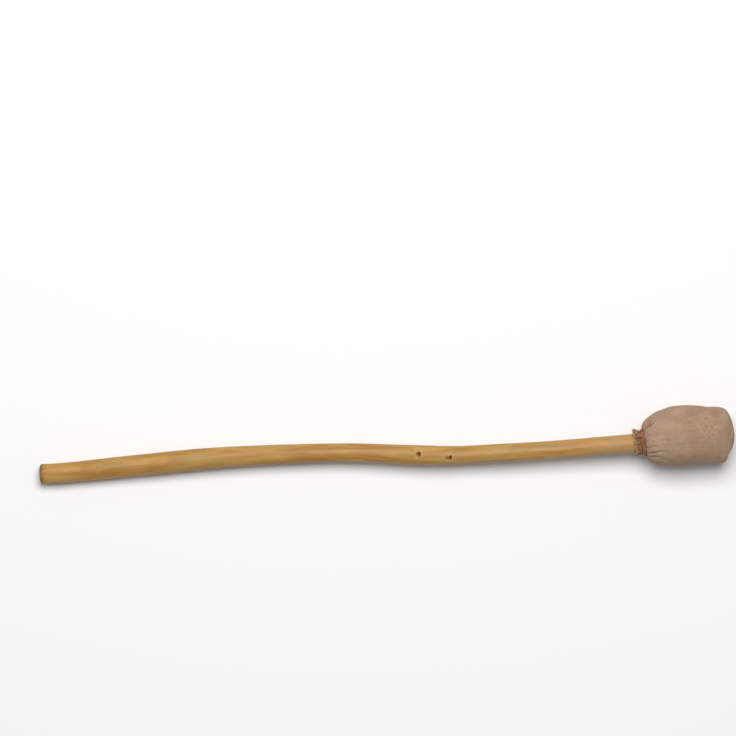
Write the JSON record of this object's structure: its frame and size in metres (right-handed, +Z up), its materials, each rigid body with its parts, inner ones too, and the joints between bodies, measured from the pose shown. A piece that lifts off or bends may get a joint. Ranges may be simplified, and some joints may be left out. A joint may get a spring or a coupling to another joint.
{
  "type": "drum beater",
  "caption": "Drum beater: a peeled, gently curved branch with a stuffed suede head, gathered over one end and tied round the neck with waxed thread.",
  "frame": {"origin": "middle of the bounding box's underside, on the surface that the beater lies on", "axes": "+X from the butt of the stick to the head, +Y to the side that the head lies towards, +Z up with the beater lying down"},
  "size_m": [0.5394, 0.0617, 0.046],
  "materials": {
    "peeled_wood": "peeled branch, sanded and lightly oiled, satin",
    "suede": "matt suede with pores and fine wrinkles",
    "waxed_thread": "twisted, waxed thread"
  },
  "bodies": {
    "root": {"stick": "peeled_wood", "leather_head": "suede", "binding_thread": "waxed_thread"}
  },
  "joints": []
}
